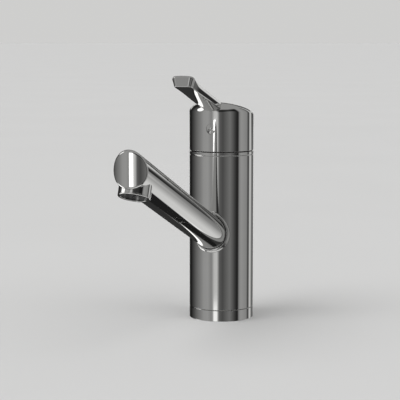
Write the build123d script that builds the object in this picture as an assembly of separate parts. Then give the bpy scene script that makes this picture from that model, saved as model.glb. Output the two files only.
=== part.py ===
from build123d import *
import math
import os

os.makedirs("parts", exist_ok=True)

# Single-lever kitchen mixer with a pull-out spray, standing on a worktop.
# Millimetres. +Z is up, the origin is the centre of the base on the worktop,
# and the spout points along -Y. X = 0 is the plane of symmetry.

# Overall sizes
body_radius = 27.0
base_ring_height = 9.3
base_ring_chamfer = 0.35
shell_top = 139.6
cap_bottom = 143.7
shell_wall = 2.4
turning_gap = 0.3
fit_clearance = 0.05
running_clearance = 0.07

# Base and swivel
gasket_height = 2.0
gasket_width = 3.4
gasket_inset = 0.6
slide_ring_wall = 2.2
pillar_wall = 3.4
pillar_top = 42.0
floor_thickness = 8.0
base_ring_wall = 3.0
floor_ledge = 2.5
stud_spacing = 27.0
stud_hole_radius = 2.5
stud_boss_radius = 4.5
slide_ring_height = 5.0
lower_slide_ring_z = 10.5
upper_slide_ring_z = 33.0
clip_height = 1.2
clip_depth = 1.1
clip_wall = 1.6
swivel_limit = 70.0
stop_screw_radius = 2.0
stop_screw_z = 24.0
stop_screw_engagement = 1.6

# Valve block
block_radius = 19.5
block_bottom = 94.0
block_flange_z = 126.0
block_neck_radius = 14.0
block_head_radius = 17.0
block_cone_height = 5.0
ring_seat_wall = 1.5
port_radius = 4.5
port_depth = 10.0
port_x = 6.4
port_y = 6.9
outlet_port_y = -9.0
mixed_port_y = 12.8
mixed_port_radius = 3.5
cross_channel_height = 16.0
waterway_radius = 2.6

# Lever kinematics and the bowl that the cap dips into
pivot_rise = 18.0
lift_limit = 24.0
turn_limit = 45.0
stop_tab_turn = 6.0
stop_tab_depth = 1.9
bowl_clearance = 0.6
bowl_mouth_radius = 15.6

# Cartridge
seat_below_pivot = 22.0
cup_rim_below_pivot = 10.0
housing_crown_below_pivot = 5.0
rotor_seat_below_pivot = 6.6
housing_collar_above_pivot = 1.2
housing_collar_wall = 2.0
nut_foot_below_pivot = 15.0
spindle_foot_below_pivot = 4.0
cartridge_radius = 14.0
cartridge_wall = 1.7
base_disc_height = 3.5
seal_height = 1.5
seal_wall = 1.1
fixed_disc_height = 3.0
fixed_disc_radius = 11.5
moving_disc_height = 2.5
moving_disc_radius = 9.2
carrier_height = 3.9
disc_gap = 0.02
rotor_radius = 9.0
rotor_flange_radius = 11.8
rotor_flange_height = 1.8
rotor_above_pivot = 2.8
pivot_pin_radius = 1.6
spindle_size = 7.0
spindle_neck_radius = 2.3
spindle_ball_radius = 2.5
ball_below_pivot = 9.3
nut_radius = 19.0
nut_lip_radius = 12.2
nut_lip_height = 1.7

# Lever
cap_rim_wall = 1.8
cap_top_centre = 181.3
cap_top_slope = 15.5
cap_dome_radius = 80.0
cap_top_wall = 3.6
cap_edge_fillet = 2.5
boss_radius = 6.5
boss_above_pivot = 7.5
spindle_grip = 7.0
blade_reach = 92.5
blade_end_top = 208.3
blade_slope = 17.2
blade_end_depth = 9.0
blade_end_width = 20.2
blade_middle_width = 16.0
blade_root_width = 15.4
blade_root_depth = 11.2
blade_wall = 8.7
blade_crown = 0.6
blade_corner = 3.6
blade_top_round = 1.6
grub_rib_start = 3.2
grub_start = 1.3
grub_radius = 2.5
grub_length = 8.0
grub_hexagon = 1.4
grub_hole_z = 162.0
plug_radius = 3.9
plug_thickness = 2.2

# Spout and spray
spout_pitch = 21.87
spout_height = 64.7
spray_radius = 13.475
spray_wall = 1.5
spray_rear = 14.6
nose_reach = 199.5
nose_radius = 24.0
nose_wall = 2.2
nose_edge_round = 1.8
neck_wall = 1.2
neck_proud = 3.0
neck_fillet = 1.6
neck_rim_fillet = 0.7
bush_wall = 1.6
bush_start = 12.0
bush_lip = 1.4
bush_length = 9.8
boss_wall = 2.2
outlet_back = 16.6
outlet_drop = 16.6
collar_radius = 12.0
collar_bore = 10.9
rim_thickness = 1.1
rim_opening = 9.9
rim_chamfer = 0.6
housing_depth = 9.1
seal_thickness = 1.6
insert_recess = 2.2
jet_radius = 1.1
jet_pitch = 5.4
liner_radius = 7.6
liner_wall = 1.6
liner_start = 60.0
well_radius = 8.0
well_above = 8.4
liner_step_back = 14.0
liner_step_radius = 5.6
check_valve_length = 9.0
check_valve_wall = 1.2
washer_thickness = 1.8
hose_nut_radius = 9.6
hose_nut_start = 46.0
hose_nut_grip = 6.0
hose_nut_taper = 7.0
hose_wall = 1.5
hose_radius = 5.0
hose_bend_radius = 50.0
hose_vertical_y = -2.0
hose_bottom = 0.5

# Worked out from the sizes above
pivot_z = cap_bottom + pivot_rise
seat_z = pivot_z - seat_below_pivot
shell_bottom = base_ring_height + turning_gap
shell_bore = body_radius - shell_wall
bowl_radius = math.hypot(body_radius, pivot_rise) + bowl_clearance
ring_bottom = pivot_z - math.sqrt(bowl_radius**2 - (bowl_mouth_radius + 2.0)**2) - 1.2
lean = math.radians(spout_pitch)
pillar_radius = shell_bore - slide_ring_wall
flange_radius = body_radius - base_ring_wall
hose_opening_radius = pillar_radius - pillar_wall - floor_ledge
ring_spigot_radius = body_radius - ring_seat_wall
outlet_station = (nose_reach - outlet_back) / math.cos(lean)
liner_step = outlet_station - liner_step_back


def turned(*points):
    """A solid of revolution about Z from an outline of (radius, height) points."""
    outline = Plane.XZ * make_face(Polyline(*points, close=True))
    return revolve(outline, Axis.Z)


def ring(outer, inner, low, high):
    """A plain ring about Z."""
    return turned((inner, low), (outer, low), (outer, high), (inner, high))


def rod(radius, low, high, x=0.0, y=0.0):
    """A round bar along Z."""
    return Pos(x, y, (low + high) / 2) * Cylinder(radius, high - low)


def sector(half_turn, radius, low, high):
    """A wedge that opens towards +Y by half_turn degrees to each side."""
    corners = [(0, 0)]
    for share in (-1, -0.5, 0, 0.5, 1):
        turn = math.radians(90 + share * half_turn)
        corners.append((2 * radius * math.cos(turn), 2 * radius * math.sin(turn)))
    return Pos(0, 0, low) * extrude(make_face(Polyline(*corners, close=True)), high - low)


def keep(name, shape):
    """Write one node."""
    shape.label = name
    export_step(shape, "parts/" + name + ".step")


# The spout's own frame: Z runs out along the tube, Y points up and back.
spout = Plane(
    origin=(0, 0, spout_height),
    x_dir=(1, 0, 0),
    z_dir=(0, -math.cos(lean), math.sin(lean)),
)


def base_ring():
    """Chrome collar on the worktop, with a seat for the pillar's flange."""
    inner = flange_radius + fit_clearance
    body = ring(body_radius, inner, 0, base_ring_height)
    lip = ring(inner + 0.5, pillar_radius + 0.6, floor_thickness + fit_clearance, base_ring_height)
    body = body + lip
    circles = body.edges().filter_by(GeomType.CIRCLE)
    return chamfer(circles.filter_by(lambda e: abs(e.radius - body_radius) < 0.01), base_ring_chamfer)


def base_gasket():
    """Rubber ring in the pillar's underside that seals it to the worktop."""
    outer = flange_radius - gasket_inset
    return ring(outer, outer - gasket_width, 0, gasket_height)


def swivel_pillar():
    """Brass pillar that the body turns on, drilled for the hoses and two fixing studs."""
    inner = pillar_radius - pillar_wall
    pillar = ring(pillar_radius, inner, 0, pillar_top) + rod(flange_radius, 0, floor_thickness)
    opening = rod(hose_opening_radius, -1, floor_thickness + 1)
    for side in (-1, 1):
        opening -= rod(stud_boss_radius, -2, floor_thickness + 2, x=side * stud_spacing / 2)
        opening -= Pos(side * (stud_spacing / 2 + 4), 0, floor_thickness / 2) * Box(
            8, 2 * stud_boss_radius, floor_thickness + 4
        )
    pillar -= opening
    for side in (-1, 1):
        pillar -= rod(stud_hole_radius, -1, floor_thickness + 1, x=side * stud_spacing / 2)
    gasket_outer = flange_radius - gasket_inset
    pillar -= ring(gasket_outer, gasket_outer - gasket_width, -1, gasket_height)
    clip_z = upper_slide_ring_z + slide_ring_height + turning_gap
    pillar -= ring(pillar_radius + 1, pillar_radius - clip_depth, clip_z, clip_z + clip_height + 0.1)
    slot_low = stop_screw_z - stop_screw_radius - turning_gap
    slot_high = stop_screw_z + stop_screw_radius + turning_gap
    slot = ring(pillar_radius + 1, pillar_radius - stop_screw_engagement - 0.4, slot_low, slot_high)
    spare = math.degrees((stop_screw_radius + turning_gap) / pillar_radius)
    return pillar - (slot & sector(swivel_limit + spare, pillar_radius, slot_low, slot_high))


def slide_ring(low):
    """Plastic bearing ring between the pillar and the turning body."""
    return ring(shell_bore - running_clearance, pillar_radius + fit_clearance, low, low + slide_ring_height)


def retaining_clip():
    """Sprung clip in the pillar's groove that stops the body lifting off."""
    clip_z = upper_slide_ring_z + slide_ring_height + turning_gap + 0.05
    inner = pillar_radius - clip_depth + fit_clearance
    clip = ring(pillar_radius + clip_wall, inner, clip_z, clip_z + clip_height)
    return clip - Pos(pillar_radius, 0, clip_z) * Box(12, 6, 10)


def neck_outline(radius, reach):
    """A bar along the spout, ended by an upright cylinder of the given reach."""
    bar = spout * rod(radius, bush_start, body_radius + 60)
    return bar & rod(reach, 0, shell_top)


def edges_at(shape, radius):
    """The wavy edges whose points lie at one distance from the Z axis."""
    found = []
    for edge in shape.edges():
        spots = [edge.position_at(share) for share in (0.2, 0.5, 0.8)]
        level = max(spot.Z for spot in spots) - min(spot.Z for spot in spots) < 0.01
        if not level and all(abs(math.hypot(spot.X, spot.Y) - radius) < 0.05 for spot in spots):
            if edge.geom_type != GeomType.LINE:
                found.append(edge)
    return found


def body_shell():
    """Chrome outer body with the short neck that the spray docks in."""
    shell = rod(body_radius, shell_bottom, shell_top)
    rim_radius = body_radius + neck_proud
    shell = shell + neck_outline(spray_radius + turning_gap + neck_wall, rim_radius)
    shell = fillet(edges_at(shell, body_radius), neck_fillet)
    shell = fillet(edges_at(shell, rim_radius), neck_rim_fillet)
    cavity = rod(shell_bore, shell_bottom - 1, block_flange_z)
    cavity += rod(ring_spigot_radius + fit_clearance, block_flange_z, shell_top + 1)
    carrier = spout * rod(bush_bore() + boss_wall, bush_start, body_radius + 30)
    shell = shell - (cavity - carrier)
    shell -= spout * rod(bush_bore(), bush_start - 1, bush_start + bush_length)
    shell -= spout * rod(spray_radius + turning_gap, bush_start, body_radius + 60)
    shell -= Pos(0, body_radius - 6, stop_screw_z) * Rot(90, 0, 0) * Cylinder(
        stop_screw_radius + fit_clearance, 20, align=(Align.CENTER, Align.CENTER, Align.CENTER)
    )
    return shell


def bush_bore():
    return spray_radius + running_clearance + bush_wall


def neck_bush():
    """Plastic sleeve that guides the spray and stops it when it is home."""
    outer = bush_bore() - fit_clearance
    sleeve_end = bush_start + bush_length - fit_clearance
    sleeve = ring(outer, spray_radius + running_clearance, bush_start, sleeve_end)
    stop = ring(outer, spray_radius - bush_lip, bush_start, spray_rear - turning_gap)
    return spout * (sleeve + stop)


def stop_screw():
    """Grub screw in the back of the body that runs in the pillar's slot."""
    inner_end = pillar_radius - stop_screw_engagement
    length = body_radius - 0.8 - inner_end
    screw = Cylinder(stop_screw_radius, length)
    socket = Pos(0, 0, length / 2) * extrude(RegularPolygon(1.15, 6), 1.6, both=True)
    return Pos(0, inner_end + length / 2, stop_screw_z) * Rot(-90, 0, 0) * (screw - socket)


def trim_ring():
    """Ring between body and cap. Its bowl lets the back of the cap dip when the lever lifts."""
    blank = ring(body_radius, bowl_mouth_radius, shell_top, cap_bottom)
    blank += ring(ring_spigot_radius, bowl_mouth_radius, ring_bottom, shell_top)
    blank -= Pos(0, 0, pivot_z) * Sphere(bowl_radius)
    land = 0.35
    edge_z = pivot_z - math.sqrt(bowl_radius**2 - body_radius**2)
    return blank - ring(body_radius + 1, body_radius - land, edge_z - 0.25, cap_bottom + 1)


def port_places():
    """Hot, cold and mixed waterways of the cartridge, as (x, y)."""
    return [(-port_x, port_y), (port_x, port_y), (0, outlet_port_y)]


def valve_block():
    """Brass block: three threaded ports below, waterways, and the cartridge cup on its neck.

    The mixed water comes back down behind the two supplies, clear of the spray hose.
    """
    cup_floor = seat_z
    cup_top = pivot_z - cup_rim_below_pivot
    cone_top = cup_floor - 0.5
    block = turned(
        (0, block_bottom),
        (block_radius - 1, block_bottom),
        (block_radius, block_bottom + 1),
        (block_radius, block_flange_z),
        (ring_spigot_radius, block_flange_z),
        (ring_spigot_radius, ring_bottom - fit_clearance),
        (block_neck_radius, ring_bottom - fit_clearance),
        (block_neck_radius, cone_top - block_cone_height),
        (block_head_radius, cone_top),
        (block_head_radius, cup_top),
        (0, cup_top),
    )
    block -= rod(cartridge_radius + fit_clearance, cup_floor, cup_top + 1)
    channel_z = block_bottom + cross_channel_height
    for x, y in port_places()[:2]:
        block -= rod(port_radius, block_bottom - 1, block_bottom + port_depth, x, y)
        block -= rod(waterway_radius, block_bottom, cup_floor + 1, x, y)
    block -= rod(mixed_port_radius, block_bottom - 1, block_bottom + port_depth, 0, mixed_port_y)
    block -= rod(waterway_radius, block_bottom, channel_z, 0, mixed_port_y)
    block -= rod(waterway_radius, channel_z, cup_floor + 1, 0, outlet_port_y)
    channel = Cylinder(waterway_radius, mixed_port_y - outlet_port_y)
    middle = Pos(0, (mixed_port_y + outlet_port_y) / 2, channel_z)
    block -= middle * Rot(90, 0, 0) * channel
    for end_y in (outlet_port_y, mixed_port_y):
        block -= Pos(0, end_y, channel_z) * Sphere(waterway_radius)
    return block


def cartridge_base():
    """Plastic foot of the cartridge with three waterways and their seal seats."""
    foot = rod(cartridge_radius, seat_z, seat_z + base_disc_height)
    for x, y in port_places():
        foot -= rod(waterway_radius, seat_z - 1, seat_z + base_disc_height + 1, x, y)
        foot -= rod(waterway_radius + seal_wall, seat_z - 1, seat_z + seal_height, x, y)
    return foot


def inlet_seals():
    """Three rubber rings between the valve block and the cartridge foot."""
    seals = []
    for x, y in port_places():
        outer = waterway_radius + seal_wall - fit_clearance
        seals.append(Pos(x, y, 0) * ring(outer, waterway_radius, seat_z, seat_z + seal_height))
    return Compound(children=seals)


def fixed_disc():
    """Ceramic disc with the three ports, held still on the foot."""
    low = seat_z + base_disc_height
    disc = rod(fixed_disc_radius, low, low + fixed_disc_height)
    for x, y in port_places():
        reach = math.hypot(x, y)
        shift = (fixed_disc_radius - 1.2 - waterway_radius) / reach
        disc -= rod(waterway_radius, low - 1, low + fixed_disc_height + 1, x * shift, y * shift)
    return disc


def disc_offset():
    """How far back of the axis the moving disc rests when the water is off."""
    return ball_below_pivot * math.sin(math.radians(lift_limit)) / 2


def moving_disc():
    """Ceramic disc that slides over the fixed one, with its mixing chamber."""
    low = seat_z + base_disc_height + fixed_disc_height + disc_gap
    disc = rod(moving_disc_radius, low, low + moving_disc_height, y=disc_offset())
    return disc - rod(moving_disc_radius * 0.55, low - 1, low + 1.4, y=disc_offset())


def disc_carrier():
    """Plastic carrier fixed on the moving disc, with the pocket for the spindle's ball."""
    low = seat_z + base_disc_height + fixed_disc_height + disc_gap + moving_disc_height
    carrier = rod(moving_disc_radius, low, low + carrier_height, y=disc_offset())
    pocket = rod(spindle_ball_radius + turning_gap, low + 0.7, low + carrier_height + 1)
    return carrier - pocket


def cartridge_housing():
    """Plastic housing that holds the discs and carries the rotor."""
    low = seat_z + base_disc_height
    shoulder = pivot_z - rotor_seat_below_pivot
    crown = pivot_z - housing_crown_below_pivot
    collar = pivot_z + housing_collar_above_pivot
    bore = cartridge_radius - cartridge_wall
    housing = turned(
        (bore, low),
        (cartridge_radius, low),
        (cartridge_radius, crown),
        (rotor_radius + housing_collar_wall, crown),
        (rotor_radius + housing_collar_wall, collar),
        (rotor_radius + running_clearance, collar),
        (rotor_radius + running_clearance, shoulder),
        (bore, shoulder),
    )
    tab = ring(bore + 0.2, bore - stop_tab_depth, rotor_low(), shoulder)
    return housing + (tab & sector(stop_tab_turn, bore, rotor_low(), shoulder))


def rotor_low():
    """Underside of the rotor's flange."""
    return pivot_z - rotor_seat_below_pivot - turning_gap - rotor_flange_height


def rotor():
    """Plastic rotor that turns with the lever, holds the pivot pin and stops on the housing's tab."""
    low = rotor_low()
    high = pivot_z + rotor_above_pivot
    part = rod(rotor_radius, low, high) + rod(rotor_flange_radius, low, low + rotor_flange_height)
    slot_x = spindle_size + 2 * turning_gap
    part -= Pos(0, 0, (low + high) / 2) * Box(slot_x, 2 * (rotor_radius - 1.5), high - low + 2)
    part -= Pos(0, 0, pivot_z) * Rot(0, 90, 0) * Cylinder(pivot_pin_radius + 0.02, 40)
    tab_reach = cartridge_radius - cartridge_wall - stop_tab_depth
    track = ring(rotor_flange_radius + 1, tab_reach - turning_gap, low, high)
    part -= track & sector(turn_limit + stop_tab_turn, rotor_flange_radius, low, low + rotor_flange_height)
    return part


def pivot_pin():
    """Steel pin across the rotor that the spindle tilts on."""
    pin = Pos(0, 0, pivot_z) * Rot(0, 90, 0) * Cylinder(pivot_pin_radius, 2 * rotor_radius - 1.0)
    return pin


def spindle():
    """Brass spindle: square top for the lever, ball foot for the disc carrier."""
    low = pivot_z - spindle_foot_below_pivot
    high = pivot_z + boss_above_pivot + spindle_grip
    bar = Pos(0, 0, (low + high) / 2) * Box(spindle_size, spindle_size, high - low)
    bar = chamfer(bar.edges().filter_by(Axis.Z), 0.6)
    bar += rod(spindle_neck_radius, pivot_z - ball_below_pivot, low + 1)
    bar += Pos(0, 0, pivot_z - ball_below_pivot) * Sphere(spindle_ball_radius)
    return bar - Pos(0, 0, pivot_z) * Rot(0, 90, 0) * Cylinder(pivot_pin_radius + 0.05, 40)


def cartridge_nut():
    """Brass nut that holds the cartridge down in its cup."""
    lip_low = pivot_z - housing_crown_below_pivot + fit_clearance
    low = pivot_z - nut_foot_below_pivot
    high = lip_low + nut_lip_height
    nut = ring(nut_radius, block_head_radius + fit_clearance, low, lip_low)
    nut += ring(nut_radius, nut_lip_radius, lip_low, high)
    flats = rod(nut_radius + 2, lip_low - 3, high + 1)
    hexagon = Pos(0, 0, lip_low - 3) * extrude(RegularPolygon(nut_radius * 1.12, 6), 10)
    return nut - (flats - hexagon)


def dome(lower):
    """The cap's crowned top, tilted down to the back, as the space under it."""
    tilt = math.radians(cap_top_slope)
    centre_y = -cap_dome_radius * math.sin(tilt)
    centre_z = cap_top_centre - cap_dome_radius * math.cos(tilt)
    return Pos(0, centre_y, centre_z) * Rot(90, 0, 0) * Sphere(cap_dome_radius - lower)


def blade_line(reach):
    """Height of the blade's top line at a point of its reach."""
    return blade_end_top - (blade_reach - reach) * math.tan(math.radians(blade_slope))


def blade_section(reach, width, side, keel):
    """Upright section across the blade: crowned top, side walls and a rounded belly."""
    half = width / 2
    plane = Plane(origin=(0, -reach, blade_line(reach)), x_dir=(1, 0, 0), z_dir=(0, -1, 0))
    top = ThreePointArc((-half, -blade_crown), (0, 0), (half, -blade_crown))
    right = Line((half, -blade_crown), (half, -side))
    belly = ThreePointArc((half, -side), (0, -keel), (-half, -side))
    left = Line((-half, -side), (-half, -blade_crown))
    return plane * make_face([top, right, belly, left])


def blade():
    """Cantilevered grip: wide and square at its end, narrow with a deep belly at the cap."""
    span = blade_reach - body_radius
    width_step = (blade_middle_width + blade_root_width) / 2
    shape = loft(
        [
            blade_section(blade_reach, blade_end_width, blade_wall, blade_end_depth),
            blade_section(blade_reach - span / 4, blade_middle_width, blade_wall, blade_end_depth + 0.5),
            blade_section(blade_reach - span * 0.6, width_step, blade_wall, blade_root_depth - 1.0),
            blade_section(body_radius - 1, blade_root_width, blade_wall, blade_root_depth),
            blade_section(body_radius - 13, blade_root_width, blade_wall, blade_root_depth),
        ]
    )
    ends = shape.edges().filter_by(lambda e: abs(e.center().Y + blade_reach) < 0.01)
    shape = fillet(ends.filter_by(lambda e: abs(e.center().X) > 1), blade_corner)
    rims = []
    for edge in shape.edges():
        middle = edge.center()
        high = middle.Z > blade_line(-middle.Y) - 1.5
        if high and edge.length > 10 and middle.Y > 1 - blade_reach and abs(middle.X) > 1:
            rims.append(edge)
    return fillet(rims, blade_top_round)


def lever():
    """Cap and blade, one casting, with the boss that grips the spindle."""
    cap = rod(body_radius, cap_bottom, cap_top_centre + 30) & dome(0)
    cap = fillet(edges_at(cap, body_radius), cap_edge_fillet)
    part = cap + blade()
    cavity = rod(body_radius - cap_rim_wall, cap_bottom - 1, cap_top_centre + 20) & dome(cap_top_wall)
    grub = grub_line()
    column = rod(boss_radius, pivot_z + boss_above_pivot, cap_top_centre)
    column += grub * rod(plug_radius + 1.0, grub_rib_start, 40)
    part -= cavity - column
    grip = spindle_size + 2 * fit_clearance
    socket_middle = pivot_z + boss_above_pivot + spindle_grip / 2
    part -= Pos(0, 0, socket_middle) * Box(grip, grip, spindle_grip + 2 * fit_clearance)
    part -= grub * rod(grub_radius + fit_clearance, 0, 40)
    part -= grub * rod(plug_radius + fit_clearance, grub_mouth() - plug_thickness - 0.3, 60)
    return part


def grub_line():
    """The grub screw's line, from the spindle out to the front of the cap."""
    start_z = pivot_z + boss_above_pivot + spindle_grip / 2
    run = body_radius - spindle_size / 2
    drop = start_z - grub_hole_z
    length = math.hypot(run, drop)
    return Plane(
        origin=(0, -spindle_size / 2, start_z), x_dir=(1, 0, 0), z_dir=(0, -run / length, -drop / length)
    )


def grub_mouth():
    """Distance along the grub screw's line to the cap's outer wall."""
    start_z = pivot_z + boss_above_pivot + spindle_grip / 2
    return math.hypot(body_radius - spindle_size / 2, start_z - grub_hole_z)


def grub_screw():
    """Socket grub screw that clamps the lever on the spindle."""
    end = grub_start + grub_length
    screw = rod(grub_radius, grub_start, end)
    socket = Pos(0, 0, end - 2.2) * extrude(RegularPolygon(grub_hexagon, 6), 4)
    return grub_line() * (screw - socket)


def index_plug():
    """Round cover pressed into the hole over the grub screw, dished in the middle."""
    blank = grub_line() * rod(plug_radius, grub_mouth() - plug_thickness, grub_mouth() + 3)
    blank = blank & rod(body_radius - 0.15, cap_bottom, cap_top_centre)
    dish = grub_line() * Pos(0, 0, grub_mouth() + 5.2) * Sphere(6.0)
    return blank - dish


def nose_space(inset):
    """Everything behind the upright nose face, less an inset."""
    behind = Pos(0, -(nose_reach - nose_radius), spout_height + 70) * Cylinder(nose_radius - inset, 300)
    back = Pos(0, -(nose_reach - nose_radius) + 150, spout_height + 70) * Box(300, 300, 300)
    return behind + back


def nose_edges(shape):
    """The edges round the nose face, which all lie on its upright cylinder."""
    found = []
    for edge in shape.edges():
        spots = [edge.position_at(share) for share in (0.2, 0.5, 0.8)]
        reach = nose_reach - nose_radius
        if all(abs(math.hypot(spot.X, spot.Y + reach) - nose_radius) < 0.01 for spot in spots):
            found.append(edge)
    return found


def spray_tube():
    """Chrome spray: the straight tube, the shield-shaped nose and the outlet collar."""
    length = nose_reach / math.cos(lean) + 20
    outer = spout * rod(spray_radius, spray_rear, length)
    outer = outer & nose_space(0)
    outer = fillet(nose_edges(outer), nose_edge_round)
    collar = spout * Pos(0, 0, outlet_station) * Rot(90, 0, 0) * Cylinder(
        collar_radius, outlet_drop - rim_thickness, align=(Align.CENTER, Align.CENTER, Align.MIN)
    )
    shell = outer + collar
    inner = spout * rod(spray_radius - spray_wall, spray_rear - 1, length)
    inner = inner & nose_space(nose_wall)
    shell -= inner
    bore = spout * Pos(0, 0, outlet_station) * Rot(90, 0, 0) * Cylinder(
        collar_bore, outlet_drop + 1, align=(Align.CENTER, Align.CENTER, Align.MIN)
    )
    return shell - bore


def down(low, high, radius):
    """A bar across the spout at the outlet, by its distance below the tube's axis."""
    return spout * Pos(0, 0, outlet_station) * Rot(90, 0, 0) * Pos(0, 0, (low + high) / 2) * Cylinder(
        radius, high - low
    )


def aerator_housing():
    """Chrome ring screwed into the collar, with the rounded rim of the outlet."""
    flange = down(outlet_drop - rim_thickness, outlet_drop, collar_radius)
    flange = chamfer(flange.edges().sort_by(spout_up())[0], rim_chamfer)
    thread_end = outlet_drop - rim_thickness
    body = flange + down(outlet_drop - housing_depth, thread_end, collar_bore - fit_clearance)
    return body - down(0, outlet_drop + 1, rim_opening)


def spout_up():
    """The direction across the spout that points up and back."""
    return Axis((0, 0, 0), (0, math.sin(lean), math.cos(lean)))


def aerator_insert():
    """Plastic jet regulator with one jet in the middle and six round it."""
    high = outlet_drop - housing_depth
    low = outlet_drop - insert_recess
    body = down(high, low, rim_opening - fit_clearance)
    frame = spout * Pos(0, 0, outlet_station) * Rot(90, 0, 0)
    jet = Cylinder(jet_radius, 2 * housing_depth)
    body -= frame * Pos(0, 0, (low + high) / 2) * jet
    for turn in range(6):
        body -= frame * Rot(0, 0, 60 * turn) * Pos(jet_pitch, 0, (low + high) / 2) * jet
    return body


def aerator_seal():
    """Rubber ring that seals the aerator against the liner."""
    top = outlet_drop - housing_depth
    seal = down(top - seal_thickness, top, collar_bore - 0.3)
    return seal - down(top - seal_thickness - 1, top + 1, well_radius - liner_wall)


def water_liner():
    """Plastic waterway inside the spray, from the hose end to the aerator."""
    well_low = outlet_drop - housing_depth - seal_thickness
    run = rod(liner_radius, liner_start, liner_step) + rod(liner_step_radius, liner_step, outlet_station)
    well = down(-well_above, well_low, well_radius)
    space = spout * rod(liner_radius - liner_wall, liner_start - 1, liner_step - liner_wall)
    space += spout * rod(liner_step_radius - liner_wall, liner_start, outlet_station)
    space += down(-well_above + liner_wall, well_low + 1, well_radius - liner_wall)
    return (spout * run + well) - space


def check_valve():
    """Non-return cartridge pressed in the liner's end."""
    outer = liner_radius - liner_wall - fit_clearance
    body = ring(outer, outer - check_valve_wall, liner_start, liner_start + check_valve_length)
    body += rod(outer, liner_start + check_valve_length - 1.5, liner_start + check_valve_length)
    hole = rod(1.1, liner_start, liner_start + check_valve_length + 1, x=outer / 2)
    for turn in range(4):
        body -= Rot(0, 0, 90 * turn) * hole
    return spout * body


def liner_seal():
    """Flat rubber washer between the hose nut and the liner."""
    return spout * ring(liner_radius, hose_radius - hose_wall, liner_start - washer_thickness, liner_start)


def hose_nut():
    """Brass nut that joins the hose to the liner, with a tapered, fluted skirt."""
    low = hose_nut_start
    high = liner_start + hose_nut_grip
    bore = hose_radius - hose_wall
    nut = turned(
        (bore, low),
        (hose_radius + 2.0, low),
        (hose_nut_radius, low + hose_nut_taper),
        (hose_nut_radius, high),
        (liner_radius + fit_clearance, high),
        (liner_radius + fit_clearance, liner_start - washer_thickness),
        (bore, liner_start - washer_thickness),
    )
    for turn in range(8):
        nut -= Rot(0, 0, 45 * turn) * rod(0.9, low + hose_nut_taper - 2, high - 1.5, x=hose_nut_radius + 0.3)
    return spout * nut


def spray_hose():
    """Braided hose from the spray's nut, bent down through the body and the pillar."""
    corner = -hose_vertical_y / math.cos(lean)
    start = spout.from_local_coords((0, 0, hose_nut_start))
    knee = spout.from_local_coords((0, 0, corner))
    end = Vector(0, hose_vertical_y, hose_bottom)
    route = FilletPolyline(start, knee, end, radius=hose_bend_radius)
    section = Plane(origin=start, z_dir=knee - start) * Circle(hose_radius)
    bore = Plane(origin=start, z_dir=knee - start) * Circle(hose_radius - hose_wall)
    return sweep(section, route) - sweep(bore, route)


keep("base_ring", base_ring())
keep("base_gasket", base_gasket())
keep("swivel_pillar", swivel_pillar())
keep("lower_slide_ring", slide_ring(lower_slide_ring_z))
keep("upper_slide_ring", slide_ring(upper_slide_ring_z))
keep("retaining_clip", retaining_clip())
keep("stop_screw", stop_screw())
keep("body_shell", body_shell())
keep("neck_bush", neck_bush())
keep("trim_ring", trim_ring())
keep("valve_block", valve_block())
keep("cartridge_base", cartridge_base())
keep("inlet_seals", inlet_seals())
keep("fixed_disc", fixed_disc())
keep("moving_disc", moving_disc())
keep("disc_carrier", disc_carrier())
keep("cartridge_housing", cartridge_housing())
keep("rotor", rotor())
keep("pivot_pin", pivot_pin())
keep("spindle", spindle())
keep("cartridge_nut", cartridge_nut())
keep("lever", lever())
keep("grub_screw", grub_screw())
keep("index_plug", index_plug())
keep("spray_tube", spray_tube())
keep("aerator_housing", aerator_housing())
keep("aerator_insert", aerator_insert())
keep("aerator_seal", aerator_seal())
keep("water_liner", water_liner())
keep("check_valve", check_valve())
keep("liner_seal", liner_seal())
keep("hose_nut", hose_nut())
keep("spray_hose", spray_hose())
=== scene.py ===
import bpy
from itertools import accumulate
from math import asin, atan2, ceil, cos, hypot, pi, radians, sin, sqrt, tan
from mathutils import Matrix, Vector
from mathutils.bvhtree import BVHTree
from mathutils.interpolate import poly_3d_calc


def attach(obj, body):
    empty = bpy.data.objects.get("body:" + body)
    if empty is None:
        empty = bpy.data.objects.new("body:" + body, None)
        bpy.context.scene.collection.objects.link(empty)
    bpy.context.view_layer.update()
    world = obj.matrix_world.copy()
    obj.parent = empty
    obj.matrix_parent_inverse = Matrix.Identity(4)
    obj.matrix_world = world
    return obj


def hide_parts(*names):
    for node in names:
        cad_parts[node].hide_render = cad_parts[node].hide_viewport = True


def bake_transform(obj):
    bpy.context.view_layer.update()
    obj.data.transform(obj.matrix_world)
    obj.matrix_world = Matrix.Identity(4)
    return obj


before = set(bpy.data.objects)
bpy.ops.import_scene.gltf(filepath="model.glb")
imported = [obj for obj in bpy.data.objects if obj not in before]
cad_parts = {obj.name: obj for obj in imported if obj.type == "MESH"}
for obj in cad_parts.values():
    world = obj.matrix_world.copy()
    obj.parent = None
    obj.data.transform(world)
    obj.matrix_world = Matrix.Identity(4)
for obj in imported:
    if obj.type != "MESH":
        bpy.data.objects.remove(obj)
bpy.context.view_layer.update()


# ---------------------------------------------------------------- base gasket
# Flat ring of black rubber, pressed into the groove under the pillar's flange.
# It seals the worktop when the two studs pull the pillar down.

def maths(operation, swapped=False):
    """A method for an operator, which adds a Math node."""
    def method(self, other):
        return self.sum(operation, *((other, self) if swapped else (self, other)))
    return method


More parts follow.
